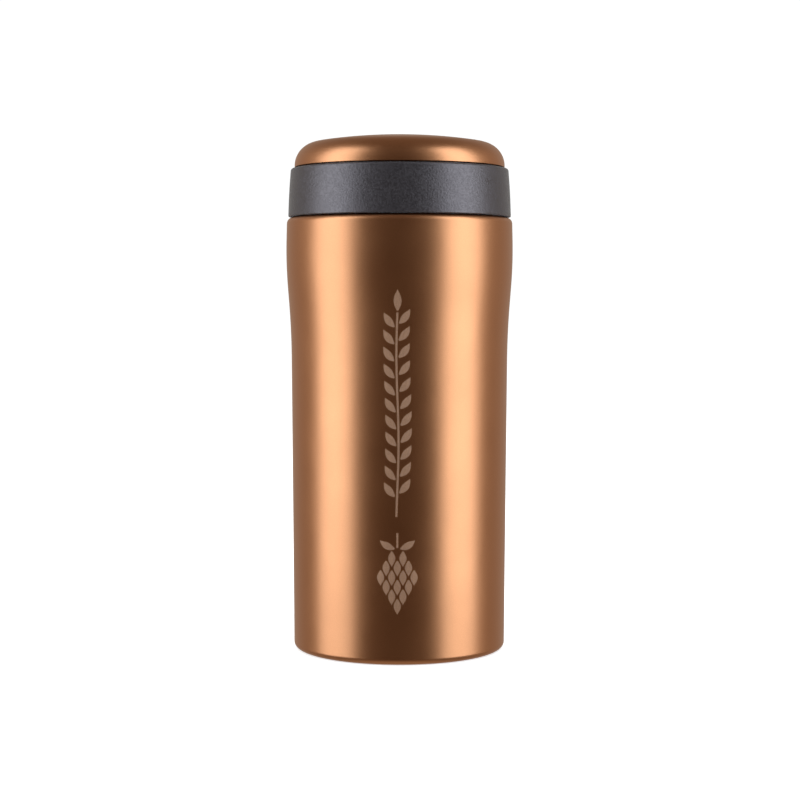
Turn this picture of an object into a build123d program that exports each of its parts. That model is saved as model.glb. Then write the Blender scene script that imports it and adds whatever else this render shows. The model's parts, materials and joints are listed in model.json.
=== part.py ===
"""Double-wall steel drinking mug, about 300 ml, with a screw-in push-click lid.

Millimetres. The Z axis is the axis of the mug and the foot stands on Z = 0.
The lid is screwed home and its valve is shut.
"""
from build123d import *
import os

# Overall size
total_height = 170.0

# Outer shell: corner points of the side, from the foot to the shoulder
shell_wall = 0.5
foot_radius = 35.12
foot_corner = 2.0
foot_ring_inner_radius = 31.5
flare_start_radius = 35.9
flare_start_z = 105.2
flare_start_bend = 267.0
flare_end_radius = 37.66
flare_end_z = 128.1
flare_end_bend = 150.0
shoulder_radius = 37.3
shoulder_z = 143.0
shoulder_corner = 2.0
neck_outer_radius = 34.0
rim_z = 145.5
rim_lip = 0.6

# Inner liner
liner_wall = 0.4
liner_radius = 31.1
liner_floor_z = 9.5
liner_corner = 8.0
liner_seam_z = 18.0
neck_radius = 32.4
ledge_z = 130.8

# Screw thread of the lid: one rounded ridge on each side, right-handed
thread_pitch = 4.0
thread_turns = 1.25
mug_ridge_crest_radius = 31.2
mug_ridge_z = 135.6
plug_ridge_crest_radius = 32.1
plug_ridge_drop = 1.55
ridge_root_width = 2.0
ridge_crest_width = 0.9

# Base of the vacuum jacket
base_cup_wall = 0.5
base_cup_z = 4.5
base_cup_radius = 34.6
base_cup_flange_z = 2.1
port_pocket_radius = 4.5
port_pocket_rise = 1.0
port_radius = 1.5
seal_bead_radius = 3.5
seal_bead_height = 1.6
base_disc_radius = 31.3
base_disc_z = 0.8
getter_radius = 3.5
getter_height = 2.0
getter_offset = 12.0
getter_clip_wall = 0.2
getter_clip_width = 3.0
foil_wall = 0.1
foil_low_z = 19.0
foil_high_z = 120.0

# Lid: collar and drinking bowl
collar_bottom_radius = 36.87
collar_bottom_z = 143.25
collar_middle_radius = 36.6
collar_middle_z = 151.5
collar_top_radius = 35.98
collar_top_z = 159.1
collar_bend = 200.0
lip_inner_radius = 35.05
lip_depth = 3.2
bowl_radius = 34.8
bowl_floor_z = 148.4
floor_underside_z = 145.7
collar_inner_radius = 34.9
drink_port_radius = 18.0
port_wall = 1.5
port_top_z = 147.5

# Lid: hub that carries the click mechanism
hub_upper_radius = 10.8
hub_lower_radius = 9.6
hub_bore_radius = 6.8
hub_bottom_z = 129.3
hub_top_z = 152.0
ring_seat_radius = 9.3
ring_seat_z = 146.4
lug_slot_radius = 7.9
lug_slot_width = 3.3
lug_slot_top_z = 145.1
spoke_count = 4
spoke_width = 2.5
spoke_height = 2.0
spoke_top_z = 141.2

# Lid: threaded plug and its gasket
plug_radius = 30.85
plug_inner_radius = 28.9
plug_bottom_z = 127.5
plug_floor = 1.5
gasket_groove_radius = 29.9
gasket_low_z = 128.6
gasket_high_z = 130.4
gasket_outer_radius = 31.0
running_gap = 0.1

# Push button
button_travel = 5.0
over_travel = 0.8
cap_wall = 0.5
cap_radius = 34.75
cap_corner = 7.8
cap_crown_radius = 176.0
cap_hem_z = 159.4
cap_hem_inner_radius = 33.4
base_plate_z = 158.5
base_plate_thickness = 1.7
base_plate_radius = 33.3
base_rim_radius = 33.95
base_rim_z = 161.5
base_rim_wall = 1.2
rib_count = 6
rib_thickness = 1.2
rib_reach = 30.0
rib_top_z = 166.0
piston_inner_radius = 14.6
piston_outer_radius = 16.4
piston_bottom_z = 144.3
piston_flange_radius = 17.8
piston_flange_height = 1.0
seal_groove_radius = 15.3
seal_groove_low_z = 144.9
seal_groove_high_z = 146.7
valve_seal_radius = 17.9

# Plunger and index ring
plunger_radius = 6.6
plunger_bore = 4.4
plunger_bottom_z = 137.0
plunger_spring_seat_z = 150.0
plunger_screw_hole_z = 151.3
lug_radius = 7.7
lug_width = 3.0
lug_height = 3.0
socket_radius = 8.6
socket_z = 154.5
cam_period = 90.0
cam_step = 45.0
cam_depth = 1.0
cam_axial_width = 2.7
cam_corner_radius = 0.97
follower_radius = 0.8
follower_z = 148.1
follower_tip_radius = 5.75
index_ring_inner_radius = 6.85
index_ring_outer_radius = 9.2
index_ring_low_z = 146.6
index_ring_high_z = 149.6
retainer_low_z = 149.8

# Return spring, its cap and the screw
spring_radius = 3.9
spring_wire = 0.7
spring_turns = 9.0
spring_low_z = 129.35
spring_cap_low_z = 128.1
spring_cap_spigot_z = 131.3
spring_cap_spigot_radius = 6.7
spring_cap_pocket_radius = 4.7
drain_radius = 1.5
screw_radius = 1.45
screw_hole_radius = 1.5
screw_tip_z = 151.5
screw_head_radius = 2.9
screw_head_height = 2.0
cross_recess_width = 0.7
cross_recess_depth = 1.2


def turned(*corners):
    """Solid of revolution about Z. A corner is (radius, height) or (radius, height, rounding)."""
    points = [corner[:2] for corner in corners]
    rounding = [corner[2] if len(corner) > 2 else 0 for corner in corners]
    outline = FilletPolyline(*points, radius=rounding, close=True)
    return revolve(Plane.XZ * make_face(outline), Axis.Z)


def tube(inner_radius, outer_radius, low_z, high_z):
    """Plain ring between two heights."""
    return turned((inner_radius, low_z), (outer_radius, low_z), (outer_radius, high_z), (inner_radius, high_z))


def disc(radius, low_z, high_z):
    """Plain disc between two heights."""
    return Pos(0, 0, low_z) * Cylinder(radius, high_z - low_z, align=(Align.CENTER, Align.CENTER, Align.MIN))


def radial_bar(inner_radius, outer_radius, width, low_z, high_z, angle):
    """Bar that runs outwards from the axis at an angle."""
    bar = Box(outer_radius - inner_radius, width, high_z - low_z, align=(Align.MIN, Align.CENTER, Align.MIN))
    return Rot(0, 0, angle) * Pos(inner_radius, 0, low_z) * bar


def radial_pin(inner_radius, outer_radius, radius, height, angle):
    """Round pin that runs outwards from the axis at an angle."""
    pin = Cylinder(radius, outer_radius - inner_radius, align=(Align.CENTER, Align.CENTER, Align.MIN))
    return Rot(0, 0, angle) * Pos(inner_radius, 0, height) * Rot(0, 90, 0) * pin


def helical_bar(inner_radius, outer_radius, inner_width, outer_width, low_z, rise, pitch, lefthand=False):
    """Bar swept along a helix. Its widths are measured along the axis, and it starts at angle zero."""
    section = Polyline(
        (inner_radius, low_z - inner_width / 2),
        (outer_radius, low_z - outer_width / 2),
        (outer_radius, low_z + outer_width / 2),
        (inner_radius, low_z + inner_width / 2),
        close=True,
    )
    path = Helix(pitch, rise, (inner_radius + outer_radius) / 2, center=(0, 0, low_z), lefthand=lefthand)
    return sweep(Plane.XZ * make_face(section), path=path, is_frenet=True)


def shell_side(inset):
    """Corners of the shell's side, moved inwards by a wall thickness, from the foot to the shoulder."""
    return [
        (foot_radius - inset, inset, foot_corner - inset),
        (flare_start_radius - inset, flare_start_z, flare_start_bend),
        (flare_end_radius - inset, flare_end_z, flare_end_bend),
        (shoulder_radius - inset, shoulder_z - inset, shoulder_corner - inset),
    ]


def outer_shell():
    """Outer wall: foot turned in, flared side, shoulder and short neck."""
    neck_inner_radius = neck_outer_radius - shell_wall
    neck_top_z = rim_z - rim_lip
    return turned(
        (foot_ring_inner_radius, 0),
        *shell_side(0),
        (neck_outer_radius, shoulder_z, shell_wall),
        (neck_outer_radius, neck_top_z),
        (neck_inner_radius, neck_top_z),
        (neck_inner_radius, shoulder_z - shell_wall),
        *reversed(shell_side(shell_wall)),
        (foot_ring_inner_radius, shell_wall),
    )


def liner():
    """Inner wall: straight side, ledge, threaded neck and a lip welded over the shell's neck."""
    outer_radius = liner_radius + liner_wall
    neck_back_radius = neck_radius + liner_wall
    wall = turned(
        (outer_radius, liner_seam_z),
        (outer_radius, ledge_z - liner_wall, 0.4),
        (neck_back_radius, ledge_z - liner_wall, 0.9),
        (neck_back_radius, rim_z - rim_lip),
        (neck_outer_radius, rim_z - rim_lip),
        (neck_outer_radius, rim_z, 0.25),
        (neck_radius, rim_z, 0.25),
        (neck_radius, ledge_z, 0.4),
        (liner_radius, ledge_z, 0.4),
        (liner_radius, liner_seam_z),
    )
    ridge = helical_bar(
        mug_ridge_crest_radius,
        neck_radius + liner_wall / 2,
        ridge_crest_width,
        ridge_root_width + 0.4,
        mug_ridge_z,
        thread_pitch * thread_turns,
        thread_pitch,
    )
    return wall + ridge


def liner_bottom():
    """Dished floor of the inner wall, seam-welded under its side."""
    outer_radius = liner_radius + liner_wall
    return turned(
        (0, liner_floor_z - liner_wall),
        (outer_radius, liner_floor_z - liner_wall, liner_corner + liner_wall),
        (outer_radius, liner_seam_z),
        (liner_radius, liner_seam_z),
        (liner_radius, liner_floor_z, liner_corner),
        (0, liner_floor_z),
    )


def base_cup():
    """Stamped cup that closes the vacuum jacket, with a pocket and a pumping hole in the middle."""
    pocket_z = base_cup_z + port_pocket_rise
    return turned(
        (port_radius, pocket_z),
        (port_pocket_radius, pocket_z),
        (port_pocket_radius, base_cup_z),
        (base_cup_radius - base_cup_wall, base_cup_z),
        (base_cup_radius - base_cup_wall, base_cup_flange_z),
        (base_cup_radius, base_cup_flange_z),
        (base_cup_radius, base_cup_z + base_cup_wall, 1.0),
        (port_pocket_radius + base_cup_wall, base_cup_z + base_cup_wall),
        (port_pocket_radius + base_cup_wall, pocket_z + base_cup_wall),
        (port_radius, pocket_z + base_cup_wall),
    )


def evacuation_seal():
    """Bead of sealing glass that closes the pumping hole."""
    top_z = base_cup_z + port_pocket_rise
    return turned(
        (0, top_z - seal_bead_height),
        (seal_bead_radius, top_z - seal_bead_height, 1.2),
        (seal_bead_radius, top_z),
        (0, top_z),
    )


def base_disc():
    """Brushed cover pan, glued under the cup inside the foot ring."""
    return turned(
        (0, base_disc_z),
        (base_disc_radius, base_disc_z, 1.2),
        (base_disc_radius, base_cup_z),
        (base_disc_radius - base_cup_wall, base_cup_z),
        (base_disc_radius - base_cup_wall, base_disc_z + base_cup_wall, 0.6),
        (0, base_disc_z + base_cup_wall),
    )


def getter_top_z():
    """Height of the getter's upper face, one clip thickness under the liner."""
    return liner_floor_z - liner_wall - getter_clip_wall


def getter():
    """Pressed pill that keeps the vacuum, under the liner's floor."""
    pill = disc(getter_radius, getter_top_z() - getter_height, getter_top_z())
    return Pos(getter_offset, 0, 0) * pill


def getter_clip():
    """Thin strip that holds the pill, spot-welded to the liner at both ends."""
    low_z = getter_top_z() - getter_height
    half_bridge = getter_radius + 0.1
    half_strip = half_bridge + 3.0
    weld_z = getter_top_z() + getter_clip_wall
    strip = Polyline(
        (-half_strip, weld_z),
        (-half_strip, weld_z - getter_clip_wall),
        (-half_bridge - getter_clip_wall, weld_z - getter_clip_wall),
        (-half_bridge - getter_clip_wall, low_z - getter_clip_wall),
        (half_bridge + getter_clip_wall, low_z - getter_clip_wall),
        (half_bridge + getter_clip_wall, weld_z - getter_clip_wall),
        (half_strip, weld_z - getter_clip_wall),
        (half_strip, weld_z),
        (half_bridge, weld_z),
        (half_bridge, low_z),
        (-half_bridge, low_z),
        (-half_bridge, weld_z),
        close=True,
    )
    clip = extrude(Plane.XZ * make_face(strip), amount=getter_clip_width / 2, both=True)
    return Pos(getter_offset, 0, 0) * clip


def radiation_foil():
    """Copper foil wrapped round the liner inside the vacuum jacket."""
    inner_radius = liner_radius + liner_wall
    return tube(inner_radius, inner_radius + foil_wall, foil_low_z, foil_high_z)


def mouth_gasket():
    """Two-lipped ring in the plug's groove that seals against the liner."""
    inner_radius = gasket_groove_radius + running_gap
    root_radius = gasket_outer_radius - 0.4
    middle_z = (gasket_low_z + gasket_high_z) / 2
    return turned(
        (inner_radius, gasket_low_z),
        (gasket_outer_radius, gasket_low_z, 0.25),
        (gasket_outer_radius, gasket_low_z + 0.6, 0.2),
        (root_radius, middle_z),
        (gasket_outer_radius, gasket_high_z - 0.6, 0.2),
        (gasket_outer_radius, gasket_high_z, 0.25),
        (inner_radius, gasket_high_z),
    )


def lid_body():
    """Collar and drinking bowl, with a hole in the bowl's floor for the port."""
    sleeve_radius = drink_port_radius + port_wall
    return turned(
        (collar_bottom_radius, collar_bottom_z, 0.3),
        (collar_middle_radius, collar_middle_z, collar_bend),
        (collar_top_radius, collar_top_z, 0.8),
        (lip_inner_radius, collar_top_z, 0.12),
        (lip_inner_radius, collar_top_z - lip_depth),
        (bowl_radius, collar_top_z - lip_depth - 0.4),
        (bowl_radius, bowl_floor_z, 2.0),
        (sleeve_radius, port_top_z),
        (sleeve_radius, floor_underside_z),
        (collar_inner_radius, floor_underside_z),
        (collar_inner_radius, collar_bottom_z, 0.2),
    )


def port_sleeve():
    """Tube welded through the bowl's floor and the plug's floor: the drinking port and the seat of its valve."""
    sleeve_radius = drink_port_radius + port_wall
    return turned(
        (drink_port_radius, plug_bottom_z, 0.5),
        (sleeve_radius, plug_bottom_z),
        (sleeve_radius, port_top_z),
        (drink_port_radius, port_top_z, 0.4),
    )


def mechanism_housing():
    """Hub for the click mechanism, on four spokes welded to the inside of the port."""
    spoke_low_z = spoke_top_z - spoke_height
    hub = turned(
        (hub_bore_radius, hub_bottom_z),
        (hub_lower_radius, hub_bottom_z, 0.3),
        (hub_lower_radius, spoke_low_z - 1.0),
        (hub_upper_radius, spoke_low_z),
        (hub_upper_radius, hub_top_z, 0.4),
        (ring_seat_radius, hub_top_z),
        (ring_seat_radius, ring_seat_z),
        (hub_bore_radius, ring_seat_z),
    )
    for angle in (0, 180):
        hub -= radial_bar(0, lug_slot_radius, lug_slot_width, hub_bottom_z, lug_slot_top_z, angle)
    port_space = disc(drink_port_radius, spoke_low_z, spoke_top_z)
    for index in range(spoke_count):
        angle = 360 / spoke_count * (index + 0.5)
        spoke = radial_bar(
            hub_upper_radius - 0.5,
            drink_port_radius + 0.5,
            spoke_width,
            spoke_low_z,
            spoke_top_z,
            angle,
        )
        hub += spoke & port_space
    return hub


def threaded_plug():
    """Hollow lower moulding, welded under the bowl and round the port: skirt with the thread, and floor."""
    sleeve_radius = drink_port_radius + port_wall
    skirt = turned(
        (sleeve_radius, plug_bottom_z),
        (plug_radius, plug_bottom_z, 0.4),
        (plug_radius, gasket_low_z - running_gap),
        (gasket_groove_radius, gasket_low_z - running_gap),
        (gasket_groove_radius, gasket_high_z + running_gap),
        (plug_radius, gasket_high_z + running_gap),
        (plug_radius, floor_underside_z),
        (plug_inner_radius, floor_underside_z),
        (plug_inner_radius, plug_bottom_z + plug_floor, 0.6),
        (sleeve_radius, plug_bottom_z + plug_floor),
    )
    ridge = helical_bar(
        plug_radius - 0.5,
        plug_ridge_crest_radius,
        ridge_root_width + 0.4,
        ridge_crest_width,
        mug_ridge_z - plug_ridge_drop,
        thread_pitch * thread_turns,
        thread_pitch,
    )
    return skirt + ridge


def ring_retainer():
    """Ring pressed into the top of the hub, which keeps the index ring down."""
    return turned(
        (index_ring_inner_radius, retainer_low_z),
        (ring_seat_radius, retainer_low_z),
        (ring_seat_radius, hub_top_z),
        (index_ring_inner_radius, hub_top_z, 0.4),
    )


def spring_cap():
    """Snap-in cap under the hub that the return spring stands on."""
    return turned(
        (drain_radius, spring_cap_low_z),
        (hub_lower_radius, spring_cap_low_z, 0.5),
        (hub_lower_radius, hub_bottom_z),
        (spring_cap_spigot_radius, hub_bottom_z),
        (spring_cap_spigot_radius, spring_cap_spigot_z),
        (spring_cap_pocket_radius, spring_cap_spigot_z),
        (spring_cap_pocket_radius, hub_bottom_z),
        (drain_radius, hub_bottom_z),
    )


def return_spring():
    """Coil spring between the cap and the plunger."""
    rise = plunger_spring_seat_z - 0.05 - spring_low_z - spring_wire
    centre_z = spring_low_z + spring_wire / 2
    path = Helix(rise / spring_turns, rise, spring_radius, center=(0, 0, centre_z))
    section = Plane(origin=path @ 0, z_dir=path % 0) * Circle(spring_wire / 2)
    return sweep(section, path=path, is_frenet=True)


def index_ring():
    """Ring that steps round as the button travels, with four inward followers."""
    ring = turned(
        (index_ring_inner_radius, index_ring_low_z),
        (index_ring_outer_radius, index_ring_low_z, 0.2),
        (index_ring_outer_radius, index_ring_high_z, 0.2),
        (index_ring_inner_radius, index_ring_high_z),
    )
    for index in range(round(360 / cam_period)):
        ring += radial_pin(
            follower_tip_radius,
            index_ring_inner_radius + 0.6,
            follower_radius,
            follower_z,
            index * cam_period,
        )
    return ring


def cam_track():
    """Zigzag track round the plunger: one leg down and one leg up in each period."""
    floor_radius = plunger_radius - cam_depth
    clear_radius = plunger_radius + 0.5
    low_z = follower_z - button_travel
    high_z = follower_z + over_travel
    rise = high_z - low_z
    lead = button_travel * 360 / cam_step
    over_angle = over_travel * 360 / lead
    return_angle = cam_period - cam_step - over_angle
    down_leg = helical_bar(floor_radius, clear_radius, cam_axial_width, cam_axial_width, low_z, rise, lead, True)
    up_leg = helical_bar(
        floor_radius,
        clear_radius,
        cam_axial_width,
        cam_axial_width,
        low_z,
        rise,
        rise * 360 / return_angle,
    )
    legs = []
    for index in range(round(360 / cam_period)):
        low_angle = index * cam_period + cam_step
        legs.append(Rot(0, 0, low_angle) * down_leg)
        legs.append(Rot(0, 0, low_angle) * up_leg)
        legs.append(radial_pin(floor_radius, clear_radius, cam_corner_radius, low_z, low_angle))
        high_angle = index * cam_period - over_angle
        legs.append(radial_pin(floor_radius, clear_radius, cam_corner_radius, high_z, high_angle))
    return legs


def plunger():
    """Stem of the button: spring bore, two guide lugs and the cam track."""
    stem = disc(plunger_radius, plunger_bottom_z, base_plate_z)
    for angle in (0, 180):
        top_z = plunger_bottom_z + lug_height
        stem += radial_bar(plunger_radius - 1, lug_radius, lug_width, plunger_bottom_z, top_z, angle)
    stem -= disc(plunger_bore, plunger_bottom_z, plunger_spring_seat_z)
    stem -= disc(screw_hole_radius, plunger_screw_hole_z, base_plate_z)
    for leg in cam_track():
        stem -= leg
    return stem


def button_base():
    """Plastic button: plate, rim that sits on the cap's hem, ribs, and the socket for the plunger."""
    plate_top_z = base_plate_z + base_plate_thickness
    hem_top_z = cap_hem_z + cap_wall
    base = turned(
        (screw_hole_radius + 0.2, base_plate_z),
        (plunger_radius, base_plate_z),
        (plunger_radius, socket_z),
        (socket_radius, socket_z, 0.3),
        (socket_radius, base_plate_z),
        (base_plate_radius, base_plate_z),
        (base_plate_radius, hem_top_z),
        (base_rim_radius, hem_top_z),
        (base_rim_radius, base_rim_z),
        (base_rim_radius - base_rim_wall, base_rim_z),
        (base_rim_radius - base_rim_wall, plate_top_z),
        (screw_hole_radius + 0.2, plate_top_z),
    )
    for index in range(rib_count):
        angle = 360 / rib_count * index
        base += radial_bar(socket_radius - 2, rib_reach, rib_thickness, plate_top_z - 0.2, rib_top_z, angle)
    return base


def valve_piston():
    """Tube welded under the button, with the groove for the seal at its lower end."""
    return turned(
        (piston_inner_radius, piston_bottom_z),
        (piston_outer_radius, piston_bottom_z, 0.2),
        (piston_outer_radius, seal_groove_low_z),
        (seal_groove_radius, seal_groove_low_z),
        (seal_groove_radius, seal_groove_high_z),
        (piston_outer_radius, seal_groove_high_z),
        (piston_outer_radius, base_plate_z - piston_flange_height, 0.4),
        (piston_flange_radius, base_plate_z - piston_flange_height, 0.3),
        (piston_flange_radius, base_plate_z),
        (piston_inner_radius, base_plate_z),
    )


def valve_seal():
    """Two-lipped ring on the piston that shuts the port."""
    return turned(
        (seal_groove_radius, seal_groove_low_z),
        (piston_outer_radius, seal_groove_low_z),
        (piston_outer_radius + 0.4, seal_groove_low_z - 0.3),
        (valve_seal_radius, seal_groove_low_z - 0.1, 0.3),
        (piston_outer_radius + 0.8, (seal_groove_low_z + seal_groove_high_z) / 2, 0.2),
        (valve_seal_radius, seal_groove_high_z + 0.1, 0.3),
        (piston_outer_radius + 0.4, seal_groove_high_z + 0.3),
        (piston_outer_radius, seal_groove_high_z),
        (seal_groove_radius, seal_groove_high_z),
    )


def crown_height(radius, inset):
    """Height of the cap's crown at a radius, moved inwards by a wall thickness."""
    crown_radius = cap_crown_radius - inset
    return total_height - cap_crown_radius + (crown_radius**2 - radius**2) ** 0.5


def cap_skin(inset, low_z):
    """Solid inside the cap's outer face, or inside its inner face when moved inwards."""
    radius = cap_radius - inset
    crown = ThreePointArc(
        (0, crown_height(0, inset)),
        (radius / 2, crown_height(radius / 2, inset)),
        (radius, crown_height(radius, inset)),
    )
    sides = Polyline(
        (radius, crown_height(radius, inset)),
        (radius, low_z),
        (0, low_z),
        (0, crown_height(0, inset)),
    )
    outline = make_face(crown + sides)
    corner = outline.vertices().sort_by_distance((radius, crown_height(radius, inset)))[0]
    return revolve(Plane.XZ * fillet(corner, cap_corner - inset), Axis.Z)


def button_cap():
    """Domed steel cap with its hem rolled in under the rim of the plastic button."""
    hem_top_z = cap_hem_z + cap_wall
    hem_opening = disc(cap_hem_inner_radius, cap_hem_z, hem_top_z)
    cap = cap_skin(0, cap_hem_z) - cap_skin(cap_wall, hem_top_z) - hem_opening
    hem_edge = cap.edges().filter_by(GeomType.CIRCLE).group_by(Axis.Z)[0].sort_by(SortBy.RADIUS)[-1]
    return fillet(hem_edge, cap_wall * 0.8)


def plunger_screw():
    """Cross-recess screw that holds the plunger to the button."""
    head_z = base_plate_z + base_plate_thickness
    screw = turned(
        (0, screw_tip_z),
        (screw_radius - 0.6, screw_tip_z),
        (screw_radius, screw_tip_z + 1.2),
        (screw_radius, head_z),
        (screw_head_radius, head_z),
        (screw_head_radius, head_z + screw_head_height, 1.0),
        (0, head_z + screw_head_height),
    )
    for angle in (0, 90, 180, 270):
        recess_z = head_z + screw_head_height - cross_recess_depth
        screw -= radial_bar(-0.1, 1.5, cross_recess_width, recess_z, head_z + screw_head_height, angle)
    return screw


pieces = [
    outer_shell,
    liner,
    liner_bottom,
    base_cup,
    evacuation_seal,
    base_disc,
    getter,
    getter_clip,
    radiation_foil,
    mouth_gasket,
    lid_body,
    port_sleeve,
    mechanism_housing,
    threaded_plug,
    ring_retainer,
    spring_cap,
    return_spring,
    index_ring,
    button_cap,
    button_base,
    valve_piston,
    valve_seal,
    plunger,
    plunger_screw,
]

os.makedirs("parts", exist_ok=True)
for piece in pieces:
    export_step(piece(), f"parts/{piece.__name__}.step")
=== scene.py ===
"""Looks of the thermal mug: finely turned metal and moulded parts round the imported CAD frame.

Blender works in metres. The profiles of the parts are in millimetres, and show() converts them.
"""
import json
import math

import bpy
from mathutils import Matrix, Vector


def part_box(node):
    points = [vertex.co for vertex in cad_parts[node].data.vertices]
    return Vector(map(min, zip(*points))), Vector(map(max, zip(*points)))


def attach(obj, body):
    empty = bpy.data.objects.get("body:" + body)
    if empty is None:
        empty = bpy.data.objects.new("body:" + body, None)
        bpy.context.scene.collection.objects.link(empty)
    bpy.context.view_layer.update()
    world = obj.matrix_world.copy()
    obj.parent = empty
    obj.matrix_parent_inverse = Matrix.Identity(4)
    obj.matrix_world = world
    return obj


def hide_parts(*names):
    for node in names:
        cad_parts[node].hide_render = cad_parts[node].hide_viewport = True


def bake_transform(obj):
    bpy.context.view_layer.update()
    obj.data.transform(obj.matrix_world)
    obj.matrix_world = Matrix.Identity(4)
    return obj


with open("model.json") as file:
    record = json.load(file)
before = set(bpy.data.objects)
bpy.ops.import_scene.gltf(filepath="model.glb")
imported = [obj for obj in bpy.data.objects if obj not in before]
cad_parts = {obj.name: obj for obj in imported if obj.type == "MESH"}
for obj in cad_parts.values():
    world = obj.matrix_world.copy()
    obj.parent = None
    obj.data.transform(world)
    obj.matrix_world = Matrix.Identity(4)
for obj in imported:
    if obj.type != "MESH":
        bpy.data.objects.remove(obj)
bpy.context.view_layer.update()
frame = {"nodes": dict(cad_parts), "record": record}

nodes = frame["nodes"]
base_low, base_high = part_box("outer_shell")
lid_low, lid_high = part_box("button_cap")

# Camera, in metres and degrees, with its lens and sensor in millimetres
camera_distance = 0.6176
camera_height = 0.1171
camera_pitch = 3.2046
camera_roll = 0.06
camera_offset = 0.0002
camera_lens = 83.43
sensor_width = 36.0

# Lights, in metres: each strip has its direction about the mug, in degrees from the front, and its watts
strips = {"strip_left": (-71.4, 8.0), "strip_right": (67.0, 8.4)}
strip_distance = 0.9
strip_middle = 0.525
strip_width = 0.70
strip_height = 1.55
strip_colour = (0.97, 1.10, 1.16)
overhead_watts = 16.0
overhead_height = 1.6
overhead_width = 1.6

# Room: its colour and its reflected level in front of the mug and behind it, the level below it, the share
# of the level above it, and how bright it is when seen directly and as diffuse light
room_front = (1.10, 0.776, 0.527)
room_back = (1.10, 0.95, 0.78)
front_level = 0.054
back_level = 0.40
below_level = 0.36
above_share = 0.62
seen_level = 1.05
diffuse_level = 0.8

# Floor, in metres: it lies just under the mug's foot and glows a little, so that it stays pale
floor_radius = 8.0
floor_drop = 0.0001
floor_glow = 0.60

# Shared sizes of the mug, in millimetres. Those from the frame are rounded, as it holds single precision.
shell_top_z = round(1000 * base_high.z, 2)
shell_shoulder_z = 143.0
shell_side_end_z = 142.9
shell_wall = 0.5
rim_radius = 32.4
plug_radius = 30.85
cap_hem_z = round(1000 * lid_low.z, 2)
cap_top_z = round(1000 * lid_high.z, 2)
cap_radius = round(1000 * lid_high.x, 2)
cap_corner = 7.8
cap_crown_radius = 176.0
cap_wall = 0.5

# Screw ridges, in millimetres and degrees: each starts at its height on +X, within a band of close rows
thread_pitch = 4.0
thread_degrees = 450
thread_fade_degrees = 20
thread_row_step = 0.18
ridge_crest_half = 0.45
neck_band = (134.0, 142.2)
neck_ridge_z = 135.6
neck_ridge_half = 1.09
neck_ridge_depth = 1.2
plug_band = (132.5, 140.6)
plug_ridge_z = 134.05
plug_ridge_half = 0.98
plug_ridge_height = 1.25

# Fineness of the turned shapes, in millimetres and degrees
round_segments = 256
edge_break = 0.1
sharp_degrees = 13
arc_degrees = 9
arc_length = 2.0
rounding_share = 0.42
weld_distance = 0.002
flat_length = 1.2
hold_distance = 0.12
crown_steps = 16
corner_steps = 18
axis_radius = 1e-6
same_radius = 1e-3
no_length = 1e-9
no_turn = 1e-4

# Etched shapes, in millimetres: their face stands above the coat and their back is sunk in it
mark_x = -0.6
etching_face = 0.006
etching_back = -0.03
stem_half_width = 0.34
stem_sway = 0.35
stem_sway_length = 9
leaf_steps = 12
leaf_foot = 0.06
leaf_least = 0.05


def add(tree, kind, inputs=None, **settings):
    """A shader node with its settings, and its inputs set or linked."""
    made = tree.nodes.new("ShaderNode" + kind)
    for key, value in settings.items():
        setattr(made, key, value)
    for key, value in (inputs or {}).items():
        if isinstance(value, bpy.types.NodeSocket):
            tree.links.new(value, made.inputs[key])
        else:
            made.inputs[key].default_value = value
    return made


def math_node(tree, operation, a, b=0.0):
    """One arithmetic step on shader values."""
    return add(tree, "Math", {0: a, 1: b}, operation=operation).outputs[0]


def start_material(name):
    """An empty material, with its Principled shader and the coordinates of the piece at rest, in metres."""
    material = bpy.data.materials.new(name)
    material.use_nodes = True
    tree = material.node_tree
    tree.nodes.clear()
    shader = add(tree, "BsdfPrincipled")
    output = add(tree, "OutputMaterial")
    tree.links.new(shader.outputs[0], output.inputs[0])
    place = add(tree, "TexCoord").outputs["Object"]
    return material, tree, shader, place


def noise(tree, place, scale, detail=3.0, roughness=0.55):
    """Noise with features of about one over scale metres."""
    inputs = {"Vector": place, "Scale": scale, "Detail": detail, "Roughness": roughness}
    return add(tree, "TexNoise", inputs).outputs[0]


def ramp(tree, value, low, high, to_low, to_high):
    """A value moved from one range to another, and held inside it."""
    inputs = {0: value, 1: low, 2: high, 3: to_low, 4: to_high}
    return add(tree, "MapRange", inputs).outputs[0]


def blend_colours(tree, share, first, second):
    """A colour between two others."""
    made = add(tree, "Mix", {0: share}, data_type="RGBA")
    for key, value in ((6, first), (7, second)):
        if isinstance(value, bpy.types.NodeSocket):
            tree.links.new(value, made.inputs[key])
        else:
            made.inputs[key].default_value = (*value, 1.0)
    return made.outputs[2]


def bump(tree, height, strength, distance):
    """A normal from a height, in metres."""
    return add(tree, "Bump", {"Height": height, "Strength": strength, "Distance": distance}).outputs[0]


def set_inputs(tree, shader, inputs):
    """The shader's inputs, each linked to a socket or set to a value."""
    for key, value in inputs.items():
        if isinstance(value, bpy.types.NodeSocket):
            tree.links.new(value, shader.inputs[key])
        else:
            shader.inputs[key].default_value = value


def copper_coat():
    """Satin copper-bronze coat: fine metallic grain under a clear coat."""
    material, tree, shader, place = start_material("copper_coat")
    grain = noise(tree, place, 5200.0, 2.0)
    cloud = noise(tree, place, 55.0, 3.0)
    colour = blend_colours(
        tree,
        ramp(tree, grain, 0.3, 0.7, 0.0, 1.0),
        (0.565, 0.247, 0.115),
        (0.636, 0.288, 0.139),
    )
    set_inputs(tree, shader, {
        "Base Color": colour,
        "Metallic": 1.0,
        "Roughness": ramp(tree, cloud, 0.3, 0.7, 0.345, 0.385),
        "Coat Weight": 0.35,
        "Coat Roughness": 0.28,
        "Coat IOR": 1.5,
        "Normal": bump(tree, grain, 0.12, 0.00002),
    })
    return material


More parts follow.
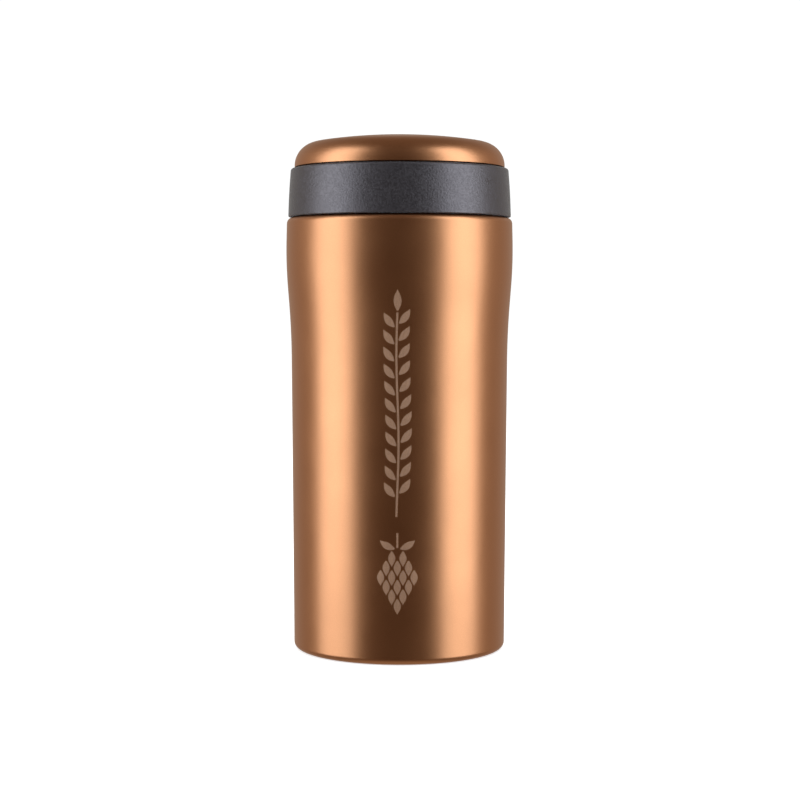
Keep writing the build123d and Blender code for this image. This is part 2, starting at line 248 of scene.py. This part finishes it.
def lid_plastic():
    """Dark grey polypropylene with a fine spark-eroded texture."""
    material, tree, shader, place = start_material("lid_plastic")
    grit = noise(tree, place, 1500.0, 2.0, 0.5)
    cloud = noise(tree, place, 420.0, 3.0)
    grit_gloss = ramp(tree, grit, 0.36, 0.62, 0.33, 0.44)
    cloud_gloss = ramp(tree, cloud, 0.3, 0.7, 0.0, 0.06)
    gloss = math_node(tree, "ADD", grit_gloss, cloud_gloss)
    colour = blend_colours(
        tree,
        ramp(tree, grit, 0.35, 0.65, 0.0, 1.0),
        (0.0072, 0.0088, 0.0118),
        (0.0125, 0.0148, 0.0192),
    )
    set_inputs(tree, shader, {
        "Base Color": colour,
        "Roughness": gloss,
        "IOR": 1.66,
        "Specular IOR Level": 0.9,
        "Specular Tint": (0.98, 0.86, 0.93, 1.0),
        "Sheen Weight": 0.12,
        "Sheen Roughness": 0.35,
        "Sheen Tint": (0.80, 0.92, 1.0, 1.0),
        "Normal": bump(tree, ramp(tree, grit, 0.38, 0.66, 0.0, 1.0), 0.45, 0.00006),
    })
    return material


def steel(name, tone, roughness, turned):
    """Stainless steel, with fine rings where it was turned or brushed about the axis."""
    material, tree, shader, place = start_material(name)
    if turned:
        parts = add(tree, "SeparateXYZ", {0: place}).outputs
        across = math_node(tree, "POWER", parts[0], 2.0)
        along = math_node(tree, "POWER", parts[1], 2.0)
        radius = math_node(tree, "SQRT", math_node(tree, "ADD", across, along))
        line = add(tree, "CombineXYZ", {0: radius, 1: parts[2]}).outputs[0]
        marks = noise(tree, line, 900.0, 8.0, 0.8)
        shade = 0.72
    else:
        marks = noise(tree, place, 3200.0, 3.0)
        shade = 0.9
    colour = blend_colours(
        tree,
        ramp(tree, marks, 0.36, 0.64, 0.0, 1.0),
        tuple(shade * part for part in tone),
        tone,
    )
    set_inputs(tree, shader, {
        "Base Color": colour,
        "Metallic": 1.0,
        "Roughness": ramp(tree, marks, 0.3, 0.7, roughness, roughness + 0.1),
        "Normal": bump(tree, marks, 0.2, 0.00001),
    })
    return material


def moulded(name, dark, light, roughness, soft=False):
    """Plain moulded plastic or rubber with a faint mottle."""
    material, tree, shader, place = start_material(name)
    mottle = noise(tree, place, 700.0, 4.0)
    set_inputs(tree, shader, {
        "Base Color": blend_colours(tree, ramp(tree, mottle, 0.3, 0.7, 0.0, 1.0), dark, light),
        "Roughness": ramp(tree, mottle, 0.3, 0.7, roughness, roughness + 0.08),
        "Normal": bump(tree, mottle, 0.15, 0.00002),
    })
    if soft:
        shader.inputs["Subsurface Weight"].default_value = 0.2
        shader.inputs["Subsurface Scale"].default_value = 0.001
    return material


finishes = {
    "copper_coat": copper_coat(),
    "liner_steel": steel("liner_steel", (0.62, 0.60, 0.57), 0.26, turned=True),
    "brushed_base": steel("brushed_base", (0.60, 0.59, 0.57), 0.30, turned=True),
    "plain_steel": steel("plain_steel", (0.56, 0.55, 0.54), 0.32, turned=False),
    "seal_glass": moulded("seal_glass", (0.10, 0.14, 0.11), (0.13, 0.17, 0.14), 0.10),
    "getter_alloy": moulded("getter_alloy", (0.10, 0.10, 0.11), (0.16, 0.16, 0.17), 0.60),
    "copper_foil": steel("copper_foil", (0.85, 0.47, 0.32), 0.14, turned=False),
    "lid_plastic": lid_plastic(),
    "acetal": moulded("acetal", (0.70, 0.69, 0.65), (0.78, 0.77, 0.73), 0.38),
    "silicone": moulded("silicone", (0.33, 0.33, 0.325), (0.39, 0.39, 0.38), 0.50, soft=True),
    "spring_wire": steel("spring_wire", (0.64, 0.63, 0.62), 0.20, turned=False),
    "etched": steel("etched", (0.85, 0.56, 0.40), 0.60, turned=False),
}

for entry in frame["record"]["subparts"]:
    part = nodes[entry["node"]]
    part.data.materials.clear()
    part.data.materials.append(finishes[entry["material_slot"]])


# Turned shapes, in millimetres
def outline(*corners):
    """Points of a closed profile, from corners of (radius, height) or (radius, height, rounding).

    A sharp corner without a rounding of its own gets a fine edge break.
    """
    count = len(corners)
    points = []
    for index, corner in enumerate(corners):
        here = Vector(corner[:2])
        before = Vector(corners[index - 1][:2]) - here
        after = Vector(corners[(index + 1) % count][:2]) - here
        repeated = before.length < no_length or after.length < no_length
        turn = 0.0 if repeated else math.pi - before.angle(after)
        if len(corner) > 2:
            size = corner[2]
        elif here.x < axis_radius or turn < math.radians(sharp_degrees):
            size = 0.0
        else:
            size = edge_break
        if size == 0.0 or turn < no_turn:
            points.append((here.x, here.y))
            continue
        reach = size * math.tan(turn / 2)
        limit = rounding_share * min(before.length, after.length)
        if len(corner) < 3 and reach > limit:
            size *= limit / reach
            reach = limit
        start = here + before.normalized() * reach
        end = here + after.normalized() * reach
        centre = here + (before.normalized() + after.normalized()).normalized() * (size / math.cos(turn / 2))
        steps = max(2, math.ceil(turn / math.radians(arc_degrees)), math.ceil(size * turn / arc_length))
        first = start - centre
        spin = 1 if first.cross(end - centre) > 0 else -1
        for step in range(steps + 1):
            angle = spin * turn * step / steps
            cosine, sine = math.cos(angle), math.sin(angle)
            points.append((
                centre.x + first.x * cosine - first.y * sine,
                centre.y + first.x * sine + first.y * cosine,
            ))
    return hold_flats(points)


def hold_flats(points):
    """The profile with a point near each end of its long straight sides, which keeps their shading flat."""
    held = []
    points = [
        point for index, point in enumerate(points)
        if math.dist(point, points[index - 1]) > weld_distance
    ]
    for index, (r, z) in enumerate(points):
        held.append((r, z))
        next_r, next_z = points[(index + 1) % len(points)]
        length = math.hypot(next_r - r, next_z - z)
        if length > flat_length and (r > axis_radius or next_r > axis_radius):
            near = hold_distance / length
            for share in (near, 1 - near):
                held.append((r + (next_r - r) * share, z + (next_z - z) * share))
    return held


def with_rows(points, low_z, high_z, radius, step):
    """The profile with close rows between two heights, on its straight side at a radius."""
    dense = []
    for index, (r, z) in enumerate(points):
        dense.append((r, z))
        next_r, next_z = points[(index + 1) % len(points)]
        on_side = abs(r - radius) < same_radius and abs(next_r - radius) < same_radius
        if on_side and abs(next_z - z) > step:
            count = math.ceil(abs(next_z - z) / step)
            for row in range(1, count):
                height = z + (next_z - z) * row / count
                if low_z <= height <= high_z:
                    dense.append((radius, height))
    return dense


def show(name, points, faces, finish, body, *replaced, smooth=True):
    """A closed mesh, from points in millimetres, as a piece of the object. It may stand for CAD nodes."""
    mesh = bpy.data.meshes.new(name)
    mesh.from_pydata([(x / 1000, y / 1000, z / 1000) for x, y, z in points], [], faces)
    mesh.polygons.foreach_set("use_smooth", [smooth] * len(faces))
    mesh.materials.append(finishes[finish])
    made = bpy.data.objects.new(name, mesh)
    bpy.context.scene.collection.objects.link(made)
    if body:
        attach(made, body)
    if replaced:
        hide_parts(*replaced)
    # The etching is the one finish that isn't a slot of the record
    return made


def turned(name, profile, finish, body, *replaced, segments=192, relief=None):
    """A profile turned about Z. The relief is added to the radius of each point.

    The faces look outwards whichever way the profile runs.
    """
    points, rings = [], []
    for r, z in profile:
        if r < axis_radius:
            rings.append([len(points)] * segments)
            points.append((0.0, 0.0, z))
            continue
        rings.append(list(range(len(points), len(points) + segments)))
        for step in range(segments):
            angle = 2 * math.pi * step / segments
            radius = r + (relief(r, z, angle) if relief else 0.0)
            points.append((radius * math.cos(angle), radius * math.sin(angle), z))
    faces = []
    for index, ring in enumerate(rings):
        following = rings[(index + 1) % len(rings)]
        if ring[0] == ring[1] and following[0] == following[1]:
            continue
        for step in range(segments):
            after = (step + 1) % segments
            face = []
            for corner in (ring[step], ring[after], following[after], following[step]):
                if corner not in face:
                    face.append(corner)
            faces.append(face)
    following_points = profile[1:] + profile[:1]
    area = sum(r * next_z - next_r * z for (r, z), (next_r, next_z) in zip(profile, following_points))
    if area < 0:
        faces = [face[::-1] for face in faces]
    show(name, points, faces, finish, body, *replaced)


def thread_ridge(angle, z, start_z, root_half):
    """Height of the screw ridge at a point, from 0 to 1. It fades at both ends."""
    best = 0.0
    for turn in (0, 1):
        along = math.degrees(angle) % 360 + 360 * turn
        if along > thread_degrees:
            continue
        away = abs(z - start_z - thread_pitch * along / 360)
        share = min(1.0, max(0.0, (root_half - away) / (root_half - ridge_crest_half)))
        ends = min(1.0, along / thread_fade_degrees, (thread_degrees - along) / thread_fade_degrees)
        best = max(best, share * share * (3 - 2 * share) * ends * ends * (3 - 2 * ends))
    return best


def shell_side(inset):
    """Corners of the shell's side, from the foot to the shoulder."""
    return [
        (35.12 - inset, inset, 2.0 - inset),
        (35.9 - inset, 105.2, 267.0),
        (37.66 - inset, 128.1, 150.0),
        (37.3 - inset, shell_shoulder_z - inset, 2.0 - inset),
    ]


def crown(inset):
    """Profile of the dome, from the axis to its side."""
    radius = cap_crown_radius - inset
    corner = cap_corner - inset
    centre_z = cap_top_z - cap_crown_radius
    corner_r = cap_radius - cap_corner
    corner_z = centre_z + math.sqrt((cap_crown_radius - cap_corner) ** 2 - corner_r**2)
    tangent = math.asin(corner_r / (cap_crown_radius - cap_corner))
    points = []
    for step in range(crown_steps + 1):
        angle = tangent * step / crown_steps
        points.append((radius * math.sin(angle), centre_z + radius * math.cos(angle)))
    points[0] = (0.0, centre_z + radius)
    for step in range(1, corner_steps + 1):
        angle = tangent + (math.pi / 2 - tangent) * step / corner_steps
        points.append((corner_r + corner * math.sin(angle), corner_z + corner * math.cos(angle)))
    return points


shell_profile = outline(
    (31.5, 0.0), *shell_side(0.0),
    (34.0, shell_shoulder_z, 0.5), (34.0, shell_top_z), (33.5, shell_top_z), (33.5, 142.5),
    *reversed(shell_side(shell_wall)), (31.5, shell_wall),
)
turned("turned_shell", shell_profile, "copper_coat", "mug", "outer_shell", segments=round_segments)

neck_profile = outline(
    (31.5, 18.0), (31.5, 130.4, 0.4), (32.8, 130.4, 0.9), (32.8, shell_top_z), (34.0, shell_top_z),
    (34.0, 145.5, 0.25), (rim_radius, 145.5, 0.25), (rim_radius, 130.8, 0.4), (31.1, 130.8, 0.4),
    (31.1, 18.0, 0.0),
)


def neck_relief(r, z, angle):
    """The ridge inside the neck, which stands inwards."""
    if abs(r - rim_radius) >= same_radius:
        return 0.0
    return -neck_ridge_depth * thread_ridge(angle, z, neck_ridge_z, neck_ridge_half)


turned(
    "turned_liner",
    with_rows(neck_profile, *neck_band, rim_radius, thread_row_step),
    "liner_steel", "mug", "liner", segments=round_segments, relief=neck_relief,
)
turned(
    "turned_liner_bottom",
    outline(
        (0.0, 9.1), (31.5, 9.1, 8.4), (31.5, 18.0, 0.0), (31.1, 18.0, 0.0), (31.1, 9.5, 8.0), (0.0, 9.5),
    ),
    "liner_steel", "mug", "liner_bottom",
)
turned(
    "turned_base_disc",
    outline((0.0, 0.8), (31.3, 0.8, 1.2), (31.3, 4.5), (30.8, 4.5), (30.8, 1.3, 0.6), (0.0, 1.3)),
    "brushed_base", "mug", "base_disc",
)
turned(
    "turned_gasket",
    outline(
        (30.0, 128.6), (31.0, 128.6, 0.25), (31.0, 129.2, 0.2), (30.6, 129.5), (31.0, 129.8, 0.2),
        (31.0, 130.4, 0.25), (30.0, 130.4),
    ),
    "silicone", "lid_seal", "mouth_gasket",
)
turned(
    "turned_collar",
    outline(
        (36.87, 143.25, 0.3), (36.6, 151.5, 200.0), (35.98, 159.1, 0.8), (35.05, 159.1, 0.12), (35.05, 155.9),
        (34.8, 155.5), (34.8, 148.4, 2.0), (19.5, 147.5), (19.5, 145.7), (34.9, 145.7), (34.9, 143.25, 0.2),
    ),
    "lid_plastic", "lid", "lid_body", segments=round_segments,
)
turned(
    "turned_port_sleeve",
    outline((18.0, 127.5, 0.5), (19.5, 127.5), (19.5, 147.5), (18.0, 147.5, 0.4)),
    "lid_plastic", "lid", "port_sleeve",
)

plug_profile = outline(
    (19.5, 127.5), (plug_radius, 127.5, 0.4), (plug_radius, 128.5), (29.9, 128.5), (29.9, 130.5),
    (plug_radius, 130.5), (plug_radius, 145.7, 0.0), (28.9, 145.7, 0.0), (28.9, 129.0, 0.6), (19.5, 129.0),
)


def plug_relief(r, z, angle):
    """The ridge round the plug, above its gasket."""
    if abs(r - plug_radius) >= same_radius:
        return 0.0
    return plug_ridge_height * thread_ridge(angle, z, plug_ridge_z, plug_ridge_half)


turned(
    "turned_plug",
    with_rows(plug_profile, *plug_band, plug_radius, thread_row_step),
    "lid_plastic", "lid", "threaded_plug", segments=round_segments, relief=plug_relief,
)
turned(
    "turned_dome",
    crown(0.0)
    + outline(
        (cap_radius, 159.95, 0.0), (cap_radius, cap_hem_z, 0.4), (33.4, cap_hem_z), (33.4, 159.9),
        (cap_radius - cap_wall, 159.9), (cap_radius - cap_wall, 159.98, 0.0),
    )
    + crown(cap_wall)[::-1],
    "copper_coat", "button", "button_cap", segments=round_segments,
)
turned(
    "turned_piston",
    outline(
        (14.6, 144.3), (16.4, 144.3, 0.2), (16.4, 144.9), (15.3, 144.9), (15.3, 146.7), (16.4, 146.7),
        (16.4, 157.5, 0.4), (17.8, 157.5, 0.3), (17.8, 158.5), (14.6, 158.5),
    ),
    "lid_plastic", "button", "valve_piston",
)
turned(
    "turned_valve_seal",
    outline(
        (15.3, 144.9), (16.4, 144.9, 0.0), (16.8, 144.6), (17.9, 144.8, 0.3), (17.2, 145.8, 0.2),
        (17.9, 146.8, 0.3), (16.8, 147.0), (16.4, 146.7, 0.0), (15.3, 146.7),
    ),
    "silicone", "button", "valve_seal",
)


def coil_spring():
    """Round wire wound between the cap and the plunger."""
    turns, steps, sides = 9.0, 60, 14
    wire_radius, coil_radius = 0.35, 3.9
    low_z, high_z = 129.7, 149.6
    points, faces = [], []
    count = int(turns * steps)
    slope = math.atan2((high_z - low_z) / turns, 2 * math.pi * coil_radius)
    for step in range(count + 1):
        angle = 2 * math.pi * step / steps
        cosine, sine = math.cos(angle), math.sin(angle)
        height = low_z + (high_z - low_z) * step / count
        centre = Vector((coil_radius * cosine, coil_radius * sine, height))
        along = Vector((-sine * math.cos(slope), cosine * math.cos(slope), math.sin(slope)))
        out = Vector((cosine, sine, 0.0))
        up = along.cross(out)
        for side in range(sides):
            spin = 2 * math.pi * side / sides
            aside, above = wire_radius * math.cos(spin), wire_radius * math.sin(spin)
            points.append(tuple(centre + out * aside + up * above))
    for step in range(count):
        for side in range(sides):
            after = (side + 1) % sides
            here, following = step * sides, (step + 1) * sides
            faces.append([here + side, here + after, following + after, following + side])
    faces.append(list(range(sides))[::-1])
    faces.append([count * sides + side for side in range(sides)])
    made = show("coil", points, faces, "spring_wire", None, "return_spring")
    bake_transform(made)


coil_spring()


# Etched sprig and hop cone on the front
side_count = next(index for index, (r, z) in enumerate(shell_profile) if z > shell_side_end_z)
outer_side = shell_profile[:side_count]


def side_radius(z):
    """Radius of the shell's outer side at a height."""
    for (low_r, low_z), (high_r, high_z) in zip(outer_side, outer_side[1:]):
        if low_z <= z < high_z:
            return low_r + (high_r - low_r) * (z - low_z) / (high_z - low_z)
    return outer_side[-1][0]


class Etching:
    """Thin closed shapes that follow the shell's side, gathered in one mesh."""

    def __init__(self):
        self.points = []
        self.faces = []

    def place(self, u, z, lift):
        """A point at a distance round from the mark's middle line, at a height and a lift off the coat."""
        radius = side_radius(z) + lift
        angle = (mark_x + u) / radius
        self.points.append((radius * math.sin(angle), -radius * math.cos(angle), z))

    def strip(self, path, widths, across=4):
        """A shape along a path of (u, z) points, with a half width at each."""
        start = len(self.points)
        rows = len(path)
        for lift in (etching_face, etching_back):
            for index, (u, z) in enumerate(path):
                before_u, before_z = path[max(0, index - 1)]
                after_u, after_z = path[min(rows - 1, index + 1)]
                length = math.hypot(after_u - before_u, after_z - before_z)
                aside_u = (after_z - before_z) / length * widths[index]
                aside_z = -(after_u - before_u) / length * widths[index]
                for column in range(across + 1):
                    share = 2 * column / across - 1
                    self.place(u + aside_u * share, z + aside_z * share, lift)

        def at(layer, row, column):
            """Index of a point on the face, layer 0, or on the back, layer 1."""
            return start + (layer * rows + row) * (across + 1) + column

        for row in range(rows - 1):
            for column in range(across):
                quad = [
                    at(0, row, column), at(0, row, column + 1),
                    at(0, row + 1, column + 1), at(0, row + 1, column),
                ]
                self.faces.append(quad)
                self.faces.append([corner + rows * (across + 1) for corner in quad][::-1])
            for column, flip in ((0, 1), (across, -1)):
                side = [
                    at(0, row, column), at(0, row + 1, column),
                    at(1, row + 1, column), at(1, row, column),
                ]
                self.faces.append(side[::flip])
        for row, flip in ((0, -1), (rows - 1, 1)):
            for column in range(across):
                end = [
                    at(0, row, column), at(0, row, column + 1),
                    at(1, row, column + 1), at(1, row, column),
                ]
                self.faces.append(end[::-flip])

    def leaf(self, u, z, length, width, angle, bend=0.0, power=1.0):
        """A pointed leaf from its foot. Its angle and bend are in degrees, the angle from straight up."""
        path, widths = [(u, z)], []
        for step in range(leaf_steps + 1):
            share = step / leaf_steps
            swell = math.sin(math.pi * min(1.0, leaf_foot + (1 - leaf_foot) * share)) ** power
            widths.append(max(leaf_least, width / 2 * swell))
            if step:
                heading = math.radians(angle + bend * (share - 0.5))
                path.append((
                    path[-1][0] + length / leaf_steps * math.sin(heading),
                    path[-1][1] + length / leaf_steps * math.cos(heading),
                ))
        self.strip(path, widths)


def etched_mark():
    """A barley sprig above a hop cone, without lettering."""
    etching = Etching()
    stem_low, stem_high, stem_steps = 47.5, 112.0, 40
    heights = [stem_low + step * (stem_high - stem_low) / stem_steps for step in range(stem_steps + 1)]
    stem = [(stem_sway * math.sin(z / stem_sway_length), z) for z in heights]
    etching.strip(stem, [stem_half_width] * len(stem), across=2)

    grain_pairs, grain_low, grain_spacing, grain_stagger = 11, 54.0, 5.35, 1.1
    for index in range(grain_pairs):
        z = grain_low + index * grain_spacing
        foot = stem_sway * math.sin(z / stem_sway_length)
        for side in (-1, 1):
            start = z + (grain_stagger if side > 0 else 0.0)
            etching.leaf(foot + side * 0.75, start, length=5.6, width=2.3, angle=side * 38, bend=side * -26)
    etching.leaf(0.0, 112.6, length=6.6, width=2.5, angle=0)

    cone_top, cone_row_height, cone_pitch = 36.6, 3.05, 3.55
    for row, count in enumerate((2, 3, 4, 3, 2, 1)):
        for column in range(count):
            u = (column - (count - 1) / 2) * cone_pitch
            z = cone_top - row * cone_row_height
            etching.leaf(u, z, length=4.9, width=2.3, angle=180, power=1.1)
    for side in (-1, 1):
        etching.leaf(side * 0.9, 37.4, length=5.4, width=2.2, angle=side * 62, bend=side * -30)

    stalk_half_width = 0.32
    stalk = [(0, 37.6 + step * 0.6) for step in range(9)]
    etching.strip(stalk, [stalk_half_width] * len(stalk), across=2)
    show("etched_mark", etching.points, etching.faces, "etched", "mug", smooth=False)


etched_mark()


def camera():
    """Camera in front of the mug, slightly above its middle and tipped down."""
    data = bpy.data.cameras.new("camera")
    data.lens = camera_lens
    data.sensor_width = sensor_width
    made = bpy.data.objects.new("camera", data)
    tip = Matrix.Rotation(math.pi / 2 - math.radians(camera_pitch), 4, "X")
    turn = tip @ Matrix.Rotation(math.radians(camera_roll), 4, "Z")
    made.matrix_world = Matrix.Translation((camera_offset, -camera_distance, camera_height)) @ turn
    bpy.context.scene.collection.objects.link(made)
    bpy.context.scene.camera = made


def area_light(name, place, target, size, watts, colour=(1, 1, 1), glossy=True):
    """Rectangular soft light that faces a point."""
    data = bpy.data.lights.new(name, "AREA")
    data.shape = "RECTANGLE"
    data.size, data.size_y = size
    data.energy = watts
    data.color = colour
    made = bpy.data.objects.new(name, data)
    aim = Vector(target) - Vector(place)
    made.matrix_world = Matrix.Translation(place) @ aim.to_track_quat("-Z", "Y").to_matrix().to_4x4()
    made.visible_glossy = glossy
    bpy.context.scene.collection.objects.link(made)


def lights():
    """Two tall strips at the sides and an overhead softbox."""
    for name, (azimuth, watts) in strips.items():
        angle = math.radians(azimuth)
        place = (strip_distance * math.sin(angle), -strip_distance * math.cos(angle), strip_middle)
        area_light(name, place, (0, 0, strip_middle), (strip_width, strip_height), watts, strip_colour)
    overhead_size = (overhead_width, overhead_width)
    area_light("overhead", (0, 0, overhead_height), (0, 0, 0), overhead_size, overhead_watts, glossy=False)


def room():
    """A pale room, darker in front of the mug, which its gloss reflects."""
    world = bpy.data.worlds.new("world")
    bpy.context.scene.world = world
    world.use_nodes = True
    tree = world.node_tree
    tree.nodes.clear()
    path = add(tree, "LightPath").outputs
    direction = add(tree, "SeparateXYZ", {0: add(tree, "TexCoord").outputs["Generated"]}).outputs
    level_round = ramp(tree, direction[1], -1.0, 1.0, front_level, back_level)
    below = ramp(tree, direction[2], -0.3, -0.9, 0.0, below_level)
    above = math_node(tree, "MULTIPLY", level_round, ramp(tree, direction[2], 0.3, 0.9, 1.0, above_share))
    reflected = math_node(tree, "MAXIMUM", above, below)
    glossy = math_node(tree, "MULTIPLY", reflected, path["Is Glossy Ray"])
    seen = math_node(tree, "MULTIPLY", path["Is Camera Ray"], seen_level)
    diffuse = math_node(tree, "MULTIPLY", path["Is Diffuse Ray"], diffuse_level)
    level = math_node(tree, "ADD", math_node(tree, "ADD", glossy, seen), diffuse)
    behind = ramp(tree, direction[1], -0.6, 1.0, 0.0, 1.0)
    under = ramp(tree, direction[2], -0.3, -0.8, 0.0, 1.0)
    away = math_node(tree, "MAXIMUM", behind, under)
    room_colour = blend_colours(tree, away, room_front, room_back)
    colour = blend_colours(tree, path["Is Glossy Ray"], (1.0, 1.0, 1.0), room_colour)
    background = add(tree, "Background", {"Color": colour, "Strength": level})
    tree.links.new(background.outputs[0], add(tree, "OutputWorld").inputs[0])


def pale_floor():
    """A pale floor under the mug, which its gloss doesn't reflect."""
    bpy.ops.mesh.primitive_circle_add(
        vertices=96, radius=floor_radius, fill_type="NGON", location=(0, 0, base_low.z - floor_drop),
    )
    floor = bpy.context.object
    floor.name = "floor"
    floor.visible_glossy = False
    material, tree, shader, place = start_material("floor")
    mottle = noise(tree, place, 8.0)
    set_inputs(tree, shader, {
        "Base Color": blend_colours(tree, mottle, (0.58, 0.58, 0.58), (0.60, 0.60, 0.60)),
        "Roughness": 0.9,
        "Emission Color": (1.0, 1.0, 1.0, 1.0),
        "Emission Strength": floor_glow,
    })
    floor.data.materials.append(material)


camera()
lights()
room()
pale_floor()
bpy.context.scene.view_settings.view_transform = "Standard"
